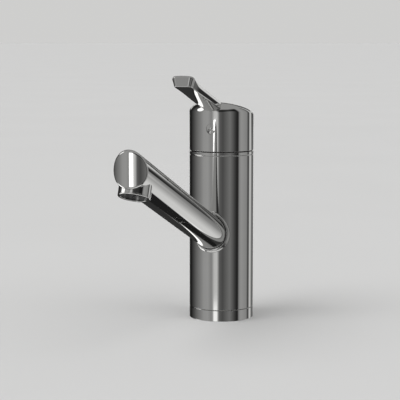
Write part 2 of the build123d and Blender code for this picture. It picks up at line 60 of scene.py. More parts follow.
class Wire:
    """A socket of a node tree. Arithmetic on it adds Math nodes to a shader."""

    def __init__(self, tree, socket=None):
        self.tree, self.socket = tree, socket

    def node(self, kind, sockets={}, output=0, **settings):
        """Any other node, with the values or wires of its sockets, after its settings.

        It gives back one of its outputs, the first unless told, or nothing for None."""
        made = self.tree.nodes.new(kind)
        for name, value in settings.items():
            if name == "stops":
                for place, shade in value[1:-1]:
                    made.color_ramp.elements.new(place)
                for element, (place, shade) in zip(made.color_ramp.elements, value):
                    element.position, element.color = place, (shade, shade, shade, 1)
            else:
                setattr(made, name, value)
        for name, value in sockets.items():
            if isinstance(value, (Wire, list)):
                for end in value if isinstance(value, list) else [value]:
                    self.tree.links.new(end.socket, made.inputs[name])
            else:
                made.inputs[name].default_value = value
        return None if output is None else Wire(self.tree, made.outputs[output])

    def sum(self, operation, first, second=0.0):
        return self.node("ShaderNodeMath", {0: first, 1: second}, operation=operation)

    __add__, __radd__ = maths("ADD"), maths("ADD", True)
    __sub__, __rsub__ = maths("SUBTRACT"), maths("SUBTRACT", True)
    __mul__, __rmul__ = maths("MULTIPLY"), maths("MULTIPLY", True)
    __truediv__ = maths("DIVIDE")

    def blend(self, first, second):
        """One colour at 0 and the other at 1."""
        colours = {0: self, 6: (*first, 1), 7: (*second, 1)}
        return self.node("ShaderNodeMix", colours, 2, data_type="RGBA")

    def parts(self):
        """The X, Y and Z of a direction or a place."""
        return [self.node("ShaderNodeSeparateXYZ", {"Vector": self}, k) for k in range(3)]


def finish(name):
    """A new material with an empty tree, and the wire that its nodes are drawn from."""
    material = bpy.data.materials.new(name)
    material.use_nodes = True
    material.node_tree.nodes.clear()
    return material, Wire(material.node_tree)


def grain(wire, scale, detail, stretch=(1, 1, 1)):
    """Noise in the object's own space, 0 to 1, with scale in grains per metre."""
    place = wire.node("ShaderNodeTexCoord", output="Object")
    place = wire.node("ShaderNodeMapping", {"Vector": place, "Scale": stretch})
    return wire.node("ShaderNodeTexNoise", {"Vector": place, "Scale": scale, "Detail": detail})


def coat(wire, **sockets):
    """Closes a material with its surface shader."""
    names = {name.replace("_", " "): value for name, value in sockets.items()}
    shader = wire.node("ShaderNodeBsdfPrincipled", names)
    wire.node("ShaderNodeOutputMaterial", {"Surface": shader}, None)


def relief(wire, height, distance, strength=1.0):
    """A bump, with its distance in metres."""
    sockets = {"Height": height, "Distance": distance, "Strength": strength}
    return wire.node("ShaderNodeBump", sockets)


def surface(name, cloud, dark, light, rough, spread, bump=None, depth=0, strength=1.0, **more):
    """A material whose colour and roughness follow one noise, with a bump of another."""
    material, wire = finish(name)
    cloud = grain(wire, *cloud)
    if bump:
        more["Normal"] = relief(wire, grain(wire, *bump), depth, strength)
    coat(wire, Base_Color=cloud.blend(dark, light), Roughness=rough + spread * cloud, **more)
    return material


def dress(material, *nodes):
    """Gives CAD nodes that keep their shape a better material."""
    for name in nodes:
        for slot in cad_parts[name].material_slots:
            slot.material = material


black_rubber = surface(
    "black_rubber", (90, 3), (0.016, 0.016, 0.017), (0.034, 0.034, 0.035), 0.58, 0.24,
    (2600, 2), 0.00003,
)
dress(black_rubber, "base_gasket", "inlet_seals", "liner_seal", "aerator_seal")


# -------------------------------------------------------------- swivel pillar
# Brass pillar, turned from bar: flange on the worktop, two stud holes in its floor,
# a groove for the clip and a slot that the stop screw runs in.

turned_brass = surface(
    "turned_brass", (70, 4), (0.66, 0.44, 0.17), (0.80, 0.60, 0.29), 0.22, 0.18,
    (1400, 1, (0.05, 0.05, 3.0)), 0.00002, 0.6, Metallic=1.0,
)
dress(turned_brass, "swivel_pillar", "spindle", "hose_nut")


# ------------------------------------------------------------------ base ring
# Chrome collar round the pillar's flange. Brass ring, turned with two small
# chamfers, polished and plated, dropped on before the body.

class Skin:
    """A mesh in millimetres whose corners carry the true normals of its surfaces."""

    def __init__(self):
        self.seats, self.points, self.faces, self.normals, self.spread = {}, [], [], [], []

    def seat(self, point):
        key = tuple((c * 2000 + 0.37) // 1 for c in point)
        if key not in self.seats:
            self.seats[key] = len(self.points)
            self.points.append(Vector(point))
        return self.seats[key]

    def face(self, *corners):
        """One face of (point, normal) corners, turned to look the way of its normals."""
        ends = [(self.seat(corner[0]), *corner[1:]) for corner in corners]
        ends = [end for k, end in enumerate(ends) if end[0] != ends[k - 1][0]]
        if len({end[0] for end in ends}) < 3:
            return
        way, pull = Vector(), Vector()
        for k, end in enumerate(ends):
            way += self.points[ends[k - 1][0]].cross(self.points[end[0]])
            pull += end[1]
        if way.dot(pull) < 0:
            ends.reverse()
        self.faces.append([end[0] for end in ends])
        self.normals += [end[1] for end in ends]
        self.spread += [end[2] for end in ends if len(end) > 2]

    def grid(self, rows, loop=True):
        """Squares between neighbouring rows of (point, normal) corners."""
        for low, high in zip(rows, rows[1:]):
            for k in range(0 if loop else 1, len(low)):
                self.face(low[k - 1], low[k], high[k], high[k - 1])

    def make(self, name, material):
        mesh = bpy.data.meshes.new(name)
        mesh.from_pydata([point * 0.001 for point in self.points], [], self.faces)
        mesh.polygons.foreach_set("use_smooth", [True] * len(self.faces))
        mesh.normals_split_custom_set([normal.normalized() for normal in self.normals])
        if self.spread:
            layer = mesh.uv_layers.new(name="along")
            for place, value in zip(layer.data, self.spread):
                place.uv = value
        mesh.materials.append(material)
        piece = bpy.data.objects.new(name, mesh)
        bpy.context.scene.collection.objects.link(piece)
        return piece


def outline(*corners):
    """A closed outline as (place, normal) stations, a place being (radius, height).

    Each corner is (radius, height, rounding). Rounding None marks a point on a curve."""
    count = len(corners)
    flat = [Vector(corner[:2]) for corner in corners]
    area = sum(flat[k - 1].cross(flat[k]) for k in range(count))
    stations = []
    for k, (_, _, rounding) in enumerate(corners):
        here = flat[k]
        into, away = (here - flat[k - 1]).normalized(), (flat[(k + 1) % count] - here).normalized()
        side = 1 if area > 0 else -1
        first, last = side * Vector((into.y, -into.x)), side * Vector((away.y, -away.x))
        if rounding is None:
            stations.append((here, (first + last).normalized()))
        elif rounding == 0:
            stations += [(here, first), (here, last)]
        else:
            turn = into.angle_signed(away)
            back = rounding * tan(abs(turn) / 2)
            bulge = 1 if (first.dot(away) < 0) else -1
            centre = here - into * back - first * rounding * bulge
            steps = max(2, ceil(abs(turn) / radians(18)))
            for step in range(steps + 1):
                normal = first.copy()
                normal.rotate(Matrix.Rotation(-turn * step / steps, 2))
                stations.append((centre + normal * rounding * bulge, normal))
    return stations


def lathe(*corners, place=Matrix(), count=120):
    """A skin turned from an outline's corners about its place's Z axis."""
    skin, turned, stations = Skin(), [], outline(*corners)
    for at, normal in stations + stations[:1]:
        row = []
        for k in range(count):
            turn = 2 * pi * k / count
            c, s = cos(turn), sin(turn)
            row.append((
                place @ Vector((at.x * c, at.x * s, at.y)),
                place.to_3x3() @ Vector((normal.x * c, normal.x * s, normal.y)),
            ))
        turned.append(row)
    skin.grid(turned)
    return skin


bright_chrome, wire = finish("bright_chrome")
film = grain(wire, 45, 4)
peel = grain(wire, 260, 1)
wipe = grain(wire, 900, 2, (1, 1, 0.12))
coat(
    wire,
    Base_Color=film.blend((0.745, 0.745, 0.738), (0.80, 0.80, 0.793)),
    Metallic=1.0,
    Roughness=0.02 + 0.02 * film + 0.015 * wipe,
    Normal=relief(wire, peel, 0.000004, 0.5),
)

body_radius = 27.0
base_ring_top, base_ring_bore = 9.3, 23.0
flange_seat, flange_bore = 8.05, 24.05
skin = lathe(
    (body_radius, 0.0, 0.3), (body_radius, base_ring_top, 0.35),
    (base_ring_bore, base_ring_top, 0.15), (base_ring_bore, flange_seat, 0),
    (flange_bore, flange_seat, 0), (flange_bore, 0.0, 0.15),
)
base_ring = skin.make("base_ring_plated", bright_chrome)
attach(base_ring, "base")
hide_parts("base_ring")


# ------------------------------------- slide rings, retaining clip, stop screw
# Two acetal rings carry the turning body on the pillar. The sprung steel clip
# keeps the body down, and the grub screw in its back stops the turn.

def moulded(name, dark, light, roughness, pores=1800):
    """An injection-moulded plastic with a fine spark-eroded skin."""
    return surface(
        name, (55, 3), dark, light, roughness - 0.05, 0.1, (pores, 2), 0.00001, 0.7
    )


natural_acetal = moulded("natural_acetal", (0.70, 0.69, 0.65), (0.78, 0.77, 0.73), 0.42)
dress(natural_acetal, "lower_slide_ring", "upper_slide_ring", "neck_bush")

drawn = (1100, 2, (1, 1, 0.1))
bright_steel = surface(
    "bright_steel", drawn, (0.52, 0.52, 0.53), (0.62, 0.62, 0.63), 0.24, 0.14,
    drawn, 0.00001, 0.5, Metallic=1.0,
)
dress(bright_steel, "retaining_clip", "stop_screw", "pivot_pin", "grub_screw")


# ----------------------------------------------------------------- body shell
# The tall chrome tube with the short neck for the spout. A brass casting, bored
# for the slide rings, blended by a small fillet round the neck and plated.

shell_foot, shell_top, shell_bore = 9.6, 139.6, 24.6
ring_seat, ring_seat_bore = 126, 25.55
foot_break, top_break = 0.25, 0.6
lean = radians(21.87)
spout = Matrix((
    (1, 0, 0, 0),
    (0, sin(lean), -cos(lean), 0),
    (0, cos(lean), sin(lean), 64.7),
    (0, 0, 0, 1),
))
rearward = -(spout.to_3x3() @ Vector((0, 0, 1)))
neck_middle, neck_radius, neck_bore, rim_reach = 76.2, 14.975, 13.775, 30.0
neck_fillet, rim_round, mouth_round = 1.6, 0.4, 0.2
bush_end, bush_radius, lip_end, lip_radius = 21.8, 15.145, 12.0, 17.345
screw_z, screw_hole = 24, 2.05


def window_edge(us, vs, a, b, c, d):
    """The points once round the rectangle of columns a to b and rows c to d."""
    return (
        [(us[i], vs[c]) for i in range(a, b)]
        + [(us[b], vs[j]) for j in range(c, d)]
        + [(us[i], vs[d]) for i in range(b, a, -1)]
        + [(us[a], vs[j]) for j in range(d, c, -1)]
    )


def pierced(skin, spot, us, vs, holes):
    """A wall of spot(u, v) squares with holes.

    Each hole is (first column, last column, first row, last row, rim), where rim gives
    the hole's own (u, v) for a point (u, v) of the rectangle round it."""
    for i in range(len(us) - 1):
        for j in range(len(vs) - 1):
            if not any(a <= i < b and c <= j < d for a, b, c, d, _ in holes):
                square = ((i, j), (i + 1, j), (i + 1, j + 1), (i, j + 1))
                skin.face(*(spot(us[m], vs[n]) for m, n in square))
    for a, b, c, d, rim in holes:
        outer = window_edge(us, vs, a, b, c, d)
        inner = [rim(u, v) for u, v in outer]
        rows = []
        for share in (0, 0.25, 0.5, 0.75, 1):
            rows.append([
                spot(u + (x - u) * share, v + (y - v) * share)
                for (u, v), (x, y) in zip(outer, inner)
            ])
        skin.grid(rows)


def swing(first, last, share):
    """Turns one direction into another by a share of the angle between them."""
    return first.slerp(last, share, first) if first.angle(last) > 1e-6 else first.copy()


def upright(radius, facing=1):
    """An upright cylinder's wall by (turn from the front, height)."""
    def spot(u, v):
        out = Vector((sin(u), -cos(u), 0))
        return (out * radius + Vector((0, 0, v)), out * facing)
    return spot


def around(turn):
    """The direction out from the spout's axis."""
    return spout.to_3x3() @ Vector((cos(turn), sin(turn), 0))


def on_spout(radius, turn, station):
    """A place by its distance and turn from the spout's axis and how far out it is."""
    return spout @ Vector((radius * cos(turn), radius * sin(turn), station))


def station_at(radius, turn, reach, middle=0.0):
    """How far out a line along the spout meets an upright cylinder of that reach."""
    x, up = radius * cos(turn), radius * sin(turn)
    return (middle + sqrt(reach * reach - x * x) + up * sin(lean)) / cos(lean)


def rolled(radius, reach, turn, middle=0.0):
    """The centre of a ball that rolls along an edge round the spout.

    With it come the directions from it to the spout's wall and to the upright wall."""
    centre = on_spout(radius, turn, station_at(radius, turn, reach, middle))
    out = Vector((centre.x, centre.y + middle, 0)).normalized()
    return centre, around(turn), out


def edge_rows(turns, steps, radius, reach, ball, first, last, middle=0.0):
    """Rows over an edge round the spout that a ball rolls along, negative in a hollow.

    First and last give the walls it leads between: 1 for the spout's, -1 for the spout's
    facing in, 0 for the upright one."""
    rows = [[] for _ in range(steps + 1)]
    for turn in turns:
        centre, side, out = rolled(radius - (first + last) * ball, reach - ball, turn, middle)
        ways = [side * way if way else out for way in (first, last)]
        for step, row in enumerate(rows):
            normal = swing(*ways, step / steps)
            row.append((centre + normal * ball, normal))
    return rows


def height_turn(point):
    """A point of the body's wall as (turn from the front, height)."""
    return (atan2(point.x, -point.y), point.z)


def neck_turn(u, v):
    """The turn round the spout's axis of a point of the body's wall."""
    return atan2(v - neck_middle, body_radius * u)


def neck_rim(u, v):
    turn = neck_turn(u, v)
    centre, _, out = rolled(neck_radius + neck_fillet, body_radius + neck_fillet, turn)
    return height_turn(centre - out * neck_fillet)


def inner_rim(u, v):
    turn = neck_turn(u, v)
    return height_turn(on_spout(lip_radius, turn, station_at(lip_radius, turn, shell_bore)))


def screw_rim(radius):
    def rim(u, v):
        side = u - pi if u > 0 else u + pi
        turn = atan2(v - screw_z, -side * body_radius)
        x, z = screw_hole * cos(turn), screw_z + screw_hole * sin(turn)
        return (pi - asin(x / radius), z)
    return rim


skin = Skin()
us = [radians(3 * k - 60) for k in range(121)]
levels = [shell_foot + foot_break, 15, 20, 22, 24, 26, 28, 36, 43]
levels += [50 + 3 * k for k in range(18)] + [113, ring_seat, shell_top - top_break]
neck_window = (2, 38, levels.index(50), levels.index(101))
screw_window = (77, 83, levels.index(20), levels.index(28))
holes = [(*neck_window, neck_rim), (*screw_window, screw_rim(body_radius))]
pierced(skin, upright(body_radius), us, levels, holes)
holes = [(*neck_window, inner_rim), (*screw_window, screw_rim(shell_bore))]
pierced(skin, upright(shell_bore, -1), us, [shell_foot] + levels[1:-1], holes)

# the neck, from its fillet over the rim and through the bush's and the lip's bores
angles = [neck_turn(u, v) for u, v in window_edge(us, levels, *neck_window)]
rows = edge_rows(angles, 6, neck_radius, body_radius, -neck_fillet, 0, 1)
rows += edge_rows(angles, 4, neck_radius, rim_reach, rim_round, 1, 0)
rows += edge_rows(angles, 2, neck_bore, rim_reach, mouth_round, 0, -1)
for radius, station, way in (
    (neck_bore, bush_end, -1), (neck_bore, bush_end, 0),
    (bush_radius, bush_end, 0), (bush_radius, bush_end, -1),
    (bush_radius, lip_end, -1), (bush_radius, lip_end, 0),
    (lip_radius, lip_end, 0), (lip_radius, lip_end, 1),
):
    rows.append([
        (on_spout(radius, turn, station), around(turn) * way if way else rearward)
        for turn in angles
    ])
rows.append([
    (on_spout(lip_radius, turn, station_at(lip_radius, turn, shell_bore)), around(turn))
    for turn in angles
])
skin.grid(rows)

# the stop screw's hole
rows = []
for radius in (body_radius, shell_bore):
    row = []
    for u, v in window_edge(us, levels, *screw_window):
        u, v = screw_rim(radius)(u, v)
        point = upright(radius)(u, v)[0]
        row.append((point, Vector((-point.x, 0, screw_z - point.z)).normalized()))
    rows.append(row)
skin.grid(rows)


def hoop(radius, z, out_share, up_share):
    """A turn of corners on the body's axis, facing out and up by these shares."""
    row = []
    for u in us[:-1]:
        out = Vector((sin(u), -cos(u), 0))
        normal = out * out_share + Vector((0, 0, up_share))
        row.append((out * radius + Vector((0, 0, z)), normal))
    return row


# the two ends, with their outer edges just broken
skin.grid([hoop(*station) for station in (
    (shell_bore, ring_seat, 0, 1), (ring_seat_bore, ring_seat, 0, 1),
    (ring_seat_bore, ring_seat, -1, 0), (ring_seat_bore, shell_top, -1, 0),
    (ring_seat_bore, shell_top, 0, 1), (body_radius - top_break, shell_top, 0, 1),
)])
skin.grid([
    hoop(shell_bore, shell_foot, 0, -1), hoop(body_radius - foot_break, shell_foot, 0, -1)
])
for z, way, broken in ((shell_top, 1, top_break), (shell_foot, -1, foot_break)):
    rows = []
    for step in range(4):
        tilt = radians(30 * step)
        out, rise = cos(tilt), way * sin(tilt)
        radius, height = body_radius - broken + broken * out, z - way * broken + broken * rise
        rows.append(hoop(radius, height, out, rise))
    skin.grid(rows)
body_shell = skin.make("body_shell_plated", bright_chrome)
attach(body_shell, "body")
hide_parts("body_shell")


# ------------------------------------------------ valve block and cartridge
# Brass block with the ports below and the cartridge cup on its neck. The ceramic
# cartridge drops in the cup and a brass nut holds it down.

nickelled_brass = surface(
    "nickelled_brass", (120, 3), (0.50, 0.49, 0.46), (0.62, 0.61, 0.58), 0.26, 0.16,
    Metallic=1.0,
)
dress(nickelled_brass, "valve_block", "cartridge_nut")

glass_nylon = moulded("glass_nylon", (0.030, 0.030, 0.032), (0.060, 0.060, 0.062), 0.50, 1200)
dress(glass_nylon, "cartridge_base", "cartridge_housing")
cream_acetal = moulded("cream_acetal", (0.55, 0.50, 0.40), (0.63, 0.58, 0.48), 0.38)
dress(cream_acetal, "disc_carrier", "rotor")

fired_ceramic = surface(
    "fired_ceramic", (3200, 2), (0.76, 0.75, 0.72), (0.84, 0.83, 0.80), 0.12, 0.14,
    Coat_Weight=0.3,
)
dress(fired_ceramic, "fixed_disc", "moving_disc")


# ------------------------------------------------------------------ trim ring
# Chrome ring that closes the gap under the cap. Its top is turned as a spherical
# bowl about the lever's pivot, so the back of the cap can dip into it.

pivot_z, bowl_radius = 161.7, 33.052
bowl_edge, bowl_mouth = 26.83, 15.6
spigot_foot, spigot_radius, trim_top = 132.53, 25.5, 142.39
bowl = []
for step in range(13):
    radius = bowl_edge + (bowl_mouth - bowl_edge) * step / 12
    height = pivot_z - sqrt(bowl_radius ** 2 - radius ** 2)
    bowl.append((radius, height, 0 if step in (0, 12) else None))
skin = lathe(
    (bowl_mouth, spigot_foot, 0), (spigot_radius, spigot_foot, 0), (spigot_radius, shell_top, 0),
    (body_radius, shell_top, 0.6), (body_radius, trim_top, 0.2), *bowl
)
trim_ring = skin.make("trim_ring_plated", bright_chrome)
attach(trim_ring, "body")
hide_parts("trim_ring")


# ---------------------------------------------------------------------- lever
# Cap and cantilevered blade, one zinc casting, polished and plated. The cap's edge
# is soft in front and tight behind, and the blade is narrower below than on top.
# The boss inside grips the spindle, and a grub screw clamps it from the front.

cap_rim, cap_lip = 143.25, 0.15
dome_radius, dome_tilt, dome_crown = 80.0, radians(15.5), 181.3
dome_centre = Vector((
    0, -dome_radius * sin(dome_tilt), dome_crown - dome_radius * cos(dome_tilt)
))
hollow_radius, hollow_foot, hollow_dome = 25.2, 140.0, 76.4
blade_reach, blade_end_top, blade_slope = 92.5, 208.3, tan(radians(17.2))


def dome_spot(x, y, radius=dome_radius):
    """The dome over a place, or a smaller one about its centre, and the normal there."""
    flat = Vector((x - dome_centre.x, y - dome_centre.y, 0))
    point = dome_centre + flat + Vector((0, 0, sqrt(radius ** 2 - flat.length_squared)))
    return point, (point - dome_centre).normalized()


def cap_edge(way):
    """The outer edge is soft at the front, under the blade, and tighter towards the back."""
    return 2.6 + 6.8 * (0.5 - 0.5 * way.y) ** 3.4


def inner_edge(_):
    return 2.5


def cap_skin(radius, low, top_radius, edge):
    """A round wall closed by the tilted dome, with a rolled edge between them."""
    skin = Skin()
    turns = [2 * pi * k / 120 for k in range(120)]
    ways = [Vector((sin(turn), -cos(turn), 0)) for turn in turns]
    flat, wall_foot = radius - cap_lip, low + cap_lip
    down = Vector((0, 0, -1))
    rows = []
    for share in (0, 0.5, 1):
        rows.append([(way * flat * share + Vector((0, 0, low)), down) for way in ways])
    for tilt in (0, 45, 90):
        tilt = radians(tilt)
        row = []
        for way in ways:
            normal = way * sin(tilt) + down * cos(tilt)
            row.append((way * flat + Vector((0, 0, wall_foot)) + normal * cap_lip, normal))
        rows.append(row)
    centres = []
    for way in ways:
        at = way * (radius - edge(way))
        centres.append(dome_spot(at.x, at.y, top_radius - edge(way))[0])
    for share in (0.34, 0.67):
        rows.append([
            (way * radius + Vector((0, 0, wall_foot * (1 - share) + centre.z * share)), way)
            for way, centre in zip(ways, centres)
        ])
    steps = 8
    for step in range(steps + 1):
        row = []
        for way, centre in zip(ways, centres):
            normal = swing(way, (centre - dome_centre).normalized(), step / steps)
            row.append((centre + normal * edge(way), normal))
        rows.append(row)
    contacts = [corner[0] for corner in rows[-1]]
    for share in (0.92, 0.84, 0.76, 0.68, 0.6, 0.5, 0.4, 0.3, 0.2, 0.1, 0):
        rows.append([dome_spot(point.x * share, point.y * share, top_radius) for point in contacts])
    skin.grid(rows)
    return skin


def blade_half(reach):
    """Half the blade's width. It flares over its last third."""
    return 7.8 + 2.3 * max(0.0, (reach - 66) / 26.5) ** 2.55


def blade_line(reach):
    """The height of the blade's top, along its middle."""
    return blade_end_top - (blade_reach - reach) * blade_slope


def blade_top(x, reach):
    return blade_line(reach) - 0.6 * (x / blade_half(reach)) ** 2


def blade_belly(x, reach):
    """The blade's underside, a keel that grows towards the cap."""
    short = blade_reach - reach
    keel = 9.0 + 0.0277 * short + 0.0000985 * short ** 2
    return blade_line(reach) - keel + (keel - 8.7) * (x / blade_half(reach)) ** 2


def top_round(reach):
    return 1.5 + 3.9 * min(1.0, (blade_reach - reach) / 16)


def blade_draft(reach):
    """How much narrower the blade is below than on top, as a share."""
    return 0.19 * max(0.0, (reach - 50) / 42.5)


def belly_round(reach):
    return 0.6 + 0.5 * min(1.0, (blade_reach - reach) / 60)


def tilt_of(height, x, reach, way, step=0.01):
    """The normal of a height surface over (x, reach), where Y is minus the reach."""
    across = (height(x + step, reach) - height(x - step, reach)) / (2 * step)
    along = (height(x, reach + step) - height(x, reach - step)) / (2 * step)
    return way * Vector((-across, along, 1)).normalized()


def blade_skin():
    """Upright wall along a plan outline, crowned top and round belly, with rolled edges."""
    corner, root, steps = 3.9, 14.0, 9
    corner_start, spine_end = 88.3, 86.0
    plan = []
    for k in range(41):
        reach = root + (corner_start - root) * k / 40
        grow = (blade_half(reach + 0.01) - blade_half(reach - 0.01)) / 0.02
        plan.append((blade_half(reach), reach, Vector((1, grow, 0)).normalized()))
    first = atan2(-plan[-1][2].y, plan[-1][2].x)
    start = -abs(first)
    middle_x = plan[-1][0] - corner * cos(start)
    for k in range(1, 11):
        turn = start + (pi / 2 - start) * k / 10
        plan.append((
            middle_x + corner * cos(turn), blade_reach - corner + corner * sin(turn),
            Vector((cos(turn), -sin(turn), 0)),
        ))
    for share in (0.5, 0.0):
        plan.append((middle_x * share, blade_reach, Vector((0, -1, 0))))
    plan += [(-x, reach, Vector((-way.x, way.y, 0))) for x, reach, way in plan[-2::-1]]

    rims = {}
    for height, way in ((blade_top, 1), (blade_belly, -1)):
        rows = [[] for _ in range(steps + 1)]
        for x, reach, out in plan:
            rounding = top_round(reach) if way > 0 else belly_round(reach)
            x = x if way > 0 else x * (1 - blade_draft(reach))
            seat = Vector((x, -reach, 0)) - out * rounding
            normal = tilt_of(height, seat.x, -seat.y, way)
            touch = Vector((seat.x + normal.x * rounding, seat.y + normal.y * rounding))
            centre = Vector((seat.x, seat.y, height(touch.x, -touch.y) - normal.z * rounding))
            for step in range(steps + 1):
                facing = swing(out, normal, step / steps)
                rows[step].append((centre + facing * rounding, facing))
        ends = [corner[0] for corner in rows[-1]]
        for share in (0.2, 0.4, 0.6, 0.8, 1.0):
            row = []
            for point in ends:
                reach = -point.y + (min(-point.y, spine_end) + point.y) * share
                x = point.x * (1 - share)
                place = Vector((x, -reach, height(x, reach)))
                row.append((place, tilt_of(height, x, reach, way)))
            rows.append(row)
        rims[way] = rows
    walls = []
    for share in (0, 0.5, 1):
        walls.append([
            (low[0].lerp(high[0], share), low[1]) for low, high in zip(rims[-1][0], rims[1][0])
        ])
    skin = Skin()
    for rows in (rims[1], rims[-1], walls):
        skin.grid(rows, loop=False)
    boundary = [row[0][0] for row in rims[1]] + [row[-1][0] for row in rims[1]][::-1][1:]
    boundary += [row[-1][0] for row in walls][::-1][1:] + [row[-1][0] for row in rims[-1]][1:]
    boundary += [row[0][0] for row in rims[-1]][::-1][1:] + [row[0][0] for row in walls][1:-1]
    middle = Vector((0, -root, blade_line(root) - 5))
    for k, point in enumerate(boundary):
        skin.face(*((spot, Vector((0, 1, 0))) for spot in (boundary[k - 1], point, middle)))
    return skin


def bar_skin(radius, low, high, place):
    """A round bar from low to high on a place's Z axis."""
    corners = (0, low, 0), (radius, low, 0), (radius, high, 0), (0, high, 0)
    return lathe(*corners, place=place, count=48)


def box_skin(half, low, high):
    """A square upright bar on the body's axis."""
    skin = Skin()
    for axis in range(3):
        for way in (-1, 1):
            normal = Vector([way if k == axis else 0 for k in range(3)])
            corners = []
            for a, b in ((-1, -1), (1, -1), (1, 1), (-1, 1)):
                sign = [a, b]
                at = [way if k == axis else sign.pop() for k in range(3)]
                height = high if at[2] > 0 else low
                corners.append((Vector((at[0] * half, at[1] * half, height)), normal))
            skin.face(*corners)
    return skin


def evaluated(piece, change):
    """Takes a modifier off a piece and puts the mesh that it makes in its place."""
    bpy.context.view_layer.update()
    made = piece.evaluated_get(bpy.context.evaluated_depsgraph_get())
    shaped = bpy.data.meshes.new_from_object(made)
    piece.modifiers.remove(change)
    piece.data = shaped


def cut(name, first, *steps):
    """Joins or cuts whole skins. Gives back the piece and the skins its faces lie on."""
    used = [first]
    piece = first.make(name, bright_chrome)
    for operation, skin in steps:
        if isinstance(skin, Skin):
            used.append(skin)
            tool = skin.make(name + "_tool", bright_chrome)
        else:
            tool, extra = skin
            used += extra
        change = piece.modifiers.new("cut", "BOOLEAN")
        change.operation, change.solver, change.object = operation, "EXACT", tool
        evaluated(piece, change)
        bpy.data.objects.remove(tool)
    return piece, used


def true_normals(piece, skins):
    """Each corner of a cut mesh takes its normal from the skin that its face lies on."""
    mesh = piece.data
    trees = [(skin, BVHTree.FromPolygons(skin.points, skin.faces)) for skin in skins]
    starts = [list(accumulate(map(len, skin.faces), initial=0)) for skin in skins]
    normals = [None] * len(mesh.loops)
    for polygon in mesh.polygons:
        middle, flat = polygon.center * 1000, polygon.normal
        best = None
        for k, (skin, tree) in enumerate(trees):
            _, normal, _, distance = tree.find_nearest(middle)
            miss = distance + 0.05 * (1 - abs(normal.dot(flat)))
            if best is None or miss < best[0]:
                best = (miss, k)
        skin, tree = trees[best[1]]
        for loop in polygon.loop_indices:
            point = mesh.vertices[mesh.loops[loop].vertex_index].co * 1000
            _, _, index, _ = tree.find_nearest(point.lerp(middle, 0.04))
            face, start = skin.faces[index], starts[best[1]][index]
            weights = poly_3d_calc([skin.points[v] for v in face], point)
            normal = Vector()
            for k, weight in enumerate(weights):
                normal += skin.normals[start + k] * min(max(weight, -0.2), 1.2)
            normal.normalize()
            if normal.dot(flat) < 0:
                normal = -normal
            normals[loop] = normal if normal.dot(flat) > 0.7 else flat.copy()
    mesh.polygons.foreach_set("use_smooth", [True] * len(mesh.polygons))
    mesh.normals_split_custom_set(normals)


grub_start = Vector((0, -3.5, 172.7))
grub_way = Vector((0, -23.5, 162.0 - 172.7)).normalized()
grub_up = Vector((1, 0, 0)).cross(grub_way) * -1
grub = Matrix((
    (1, grub_up.x, grub_way.x, grub_start.x),
    (0, grub_up.y, grub_way.y, grub_start.y),
    (0, grub_up.z, grub_way.z, grub_start.z),
    (0, 0, 0, 1),
))
grub_mouth = hypot(23.5, 10.7)
boss_radius, boss_foot, grub_boss_radius, grub_boss_start = 6.5, 169.2, 4.9, 3.2
socket_half, socket_foot, socket_top = 3.55, 160.0, 176.3
grub_hole, plug_hole, plug_hole_depth = 2.55, 3.95, 2.5

hollow, hollow_skins = cut(
    "cap_hollow", cap_skin(hollow_radius, hollow_foot, hollow_dome, inner_edge),
    ("DIFFERENCE", bar_skin(boss_radius, boss_foot, 200.0, Matrix())),
    ("DIFFERENCE", bar_skin(grub_boss_radius, grub_boss_start, 40.0, grub)),
)
lever, lever_skins = cut(
    "lever_plated", cap_skin(body_radius, cap_rim, dome_radius, cap_edge),
    ("UNION", blade_skin()),
    ("DIFFERENCE", (hollow, hollow_skins)),
    ("DIFFERENCE", box_skin(socket_half, socket_foot, socket_top)),
    ("DIFFERENCE", bar_skin(grub_hole, 0.0, 40.0, grub)),
    ("DIFFERENCE", bar_skin(plug_hole, grub_mouth - plug_hole_depth, grub_mouth + 20, grub)),
)
true_normals(lever, lever_skins)
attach(lever, "lever")
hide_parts("lever")


# ----------------------------------------------------------------- index plug
# Round chrome cover, pressed in the hole over the grub screw and dished in the
# middle. Moulded plastic, plated to match.

plug_radius, plug_round, plug_depth = 3.9, 0.25, 2.2
plug_reach, dish_radius, dish_rise = 26.85, 6, 5.2


def plug_height(x, reach):
    """How far along the grub's line the plug's face stands: the cap's wall or the dish."""
    at = grub @ Vector((x, -reach, 0))
    run = (sqrt(plug_reach ** 2 - at.x ** 2) + at.y) / -grub_way.y
    dish = sqrt(dish_radius ** 2 - x * x - reach * reach)
    return min(run, grub_mouth + dish_rise - dish)


def plug_face(q, turn):
    """A corner of the plug's face by its distance and turn from the middle."""
    x, reach = q * cos(turn), -q * sin(turn)
    normal = grub.to_3x3() @ tilt_of(plug_height, x, reach, 1, 0.02)
    return grub @ Vector((x, -reach, plug_height(x, reach))), normal


def plug_side(turn):
    """The direction out from the plug's middle."""
    return grub.to_3x3() @ Vector((cos(turn), sin(turn), 0))


skin, rows = Skin(), []
turns = [2 * pi * k / 64 for k in range(64)]
for q in (0, 0.8, 1.6, 2.3, 2.9, 3.1, 3.4, plug_radius - plug_round):
    rows.append([plug_face(q, t) for t in turns])
face_edge = rows[-1]
for step in range(5):
    row = []
    for t, (point, face) in zip(turns, face_edge):
        normal = swing(face, plug_side(t), step / 4)
        row.append((point - face * plug_round + normal * plug_round, normal))
    rows.append(row)
back = grub_mouth - plug_depth
for q, sideways in ((plug_radius, True), (plug_radius, False), (0, False)):
    rows.append([
        (grub @ Vector((q * cos(t), q * sin(t), back)),
         plug_side(t) if sideways else -grub_way)
        for t in turns
    ])
skin.grid(rows)
index_plug = skin.make("index_plug_plated", bright_chrome)
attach(index_plug, "lever")
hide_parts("index_plug")


# ----------------------------------------------------------------- spray tube
# The pull-out spray: a chrome tube cut off by an upright round face, with the
# outlet collar under its nose. Brass, polished and plated.

